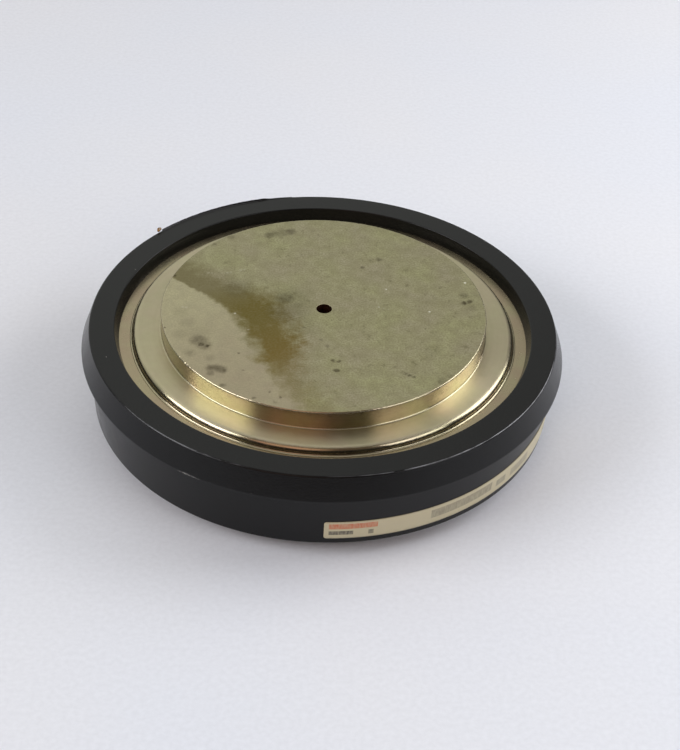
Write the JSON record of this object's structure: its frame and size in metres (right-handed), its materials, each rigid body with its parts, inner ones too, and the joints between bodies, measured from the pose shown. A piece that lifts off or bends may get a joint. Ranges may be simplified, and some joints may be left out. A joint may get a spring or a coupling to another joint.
{
  "type": "disc rectifier diode",
  "caption": "Flat round rectifier diode for clamping between heat sinks, with a stepped metal contact face on each side and a black moulded plastic ring.",
  "frame": {"origin": "centre of the lower contact face", "axes": "+Z along the disc's axis, from the lower contact face to the upper one; -Y is the front of the picture, where the label starts"},
  "size_m": [0.1088, 0.1088, 0.026],
  "materials": {
    "housing_plastic": "satin moulded",
    "plated_copper": "nickel plated, aged and stained",
    "plated_sheet": "nickel plated, satin",
    "silver": "satin",
    "molybdenum": "ground",
    "silicon": "lapped",
    "silicone_rubber": "cast",
    "white_plastic": "turned",
    "seal_rubber": "moulded",
    "label_paper": "matt printed film"
  },
  "bodies": {
    "root": {"housing_ring": "housing_plastic", "upper_pole_piece": "plated_copper", "lower_pole_piece": "plated_copper", "upper_flange": "plated_sheet", "lower_flange": "plated_sheet", "upper_silver_foil": "silver", "upper_molybdenum_disc": "molybdenum", "silicon_wafer": "silicon", "wafer_edge_coat": "silicone_rubber", "lower_molybdenum_disc": "molybdenum", "lower_silver_foil": "silver", "centring_ring": "white_plastic", "upper_seal_ring": "seal_rubber", "lower_seal_ring": "seal_rubber", "rim_label": "label_paper"}
  },
  "joints": []
}
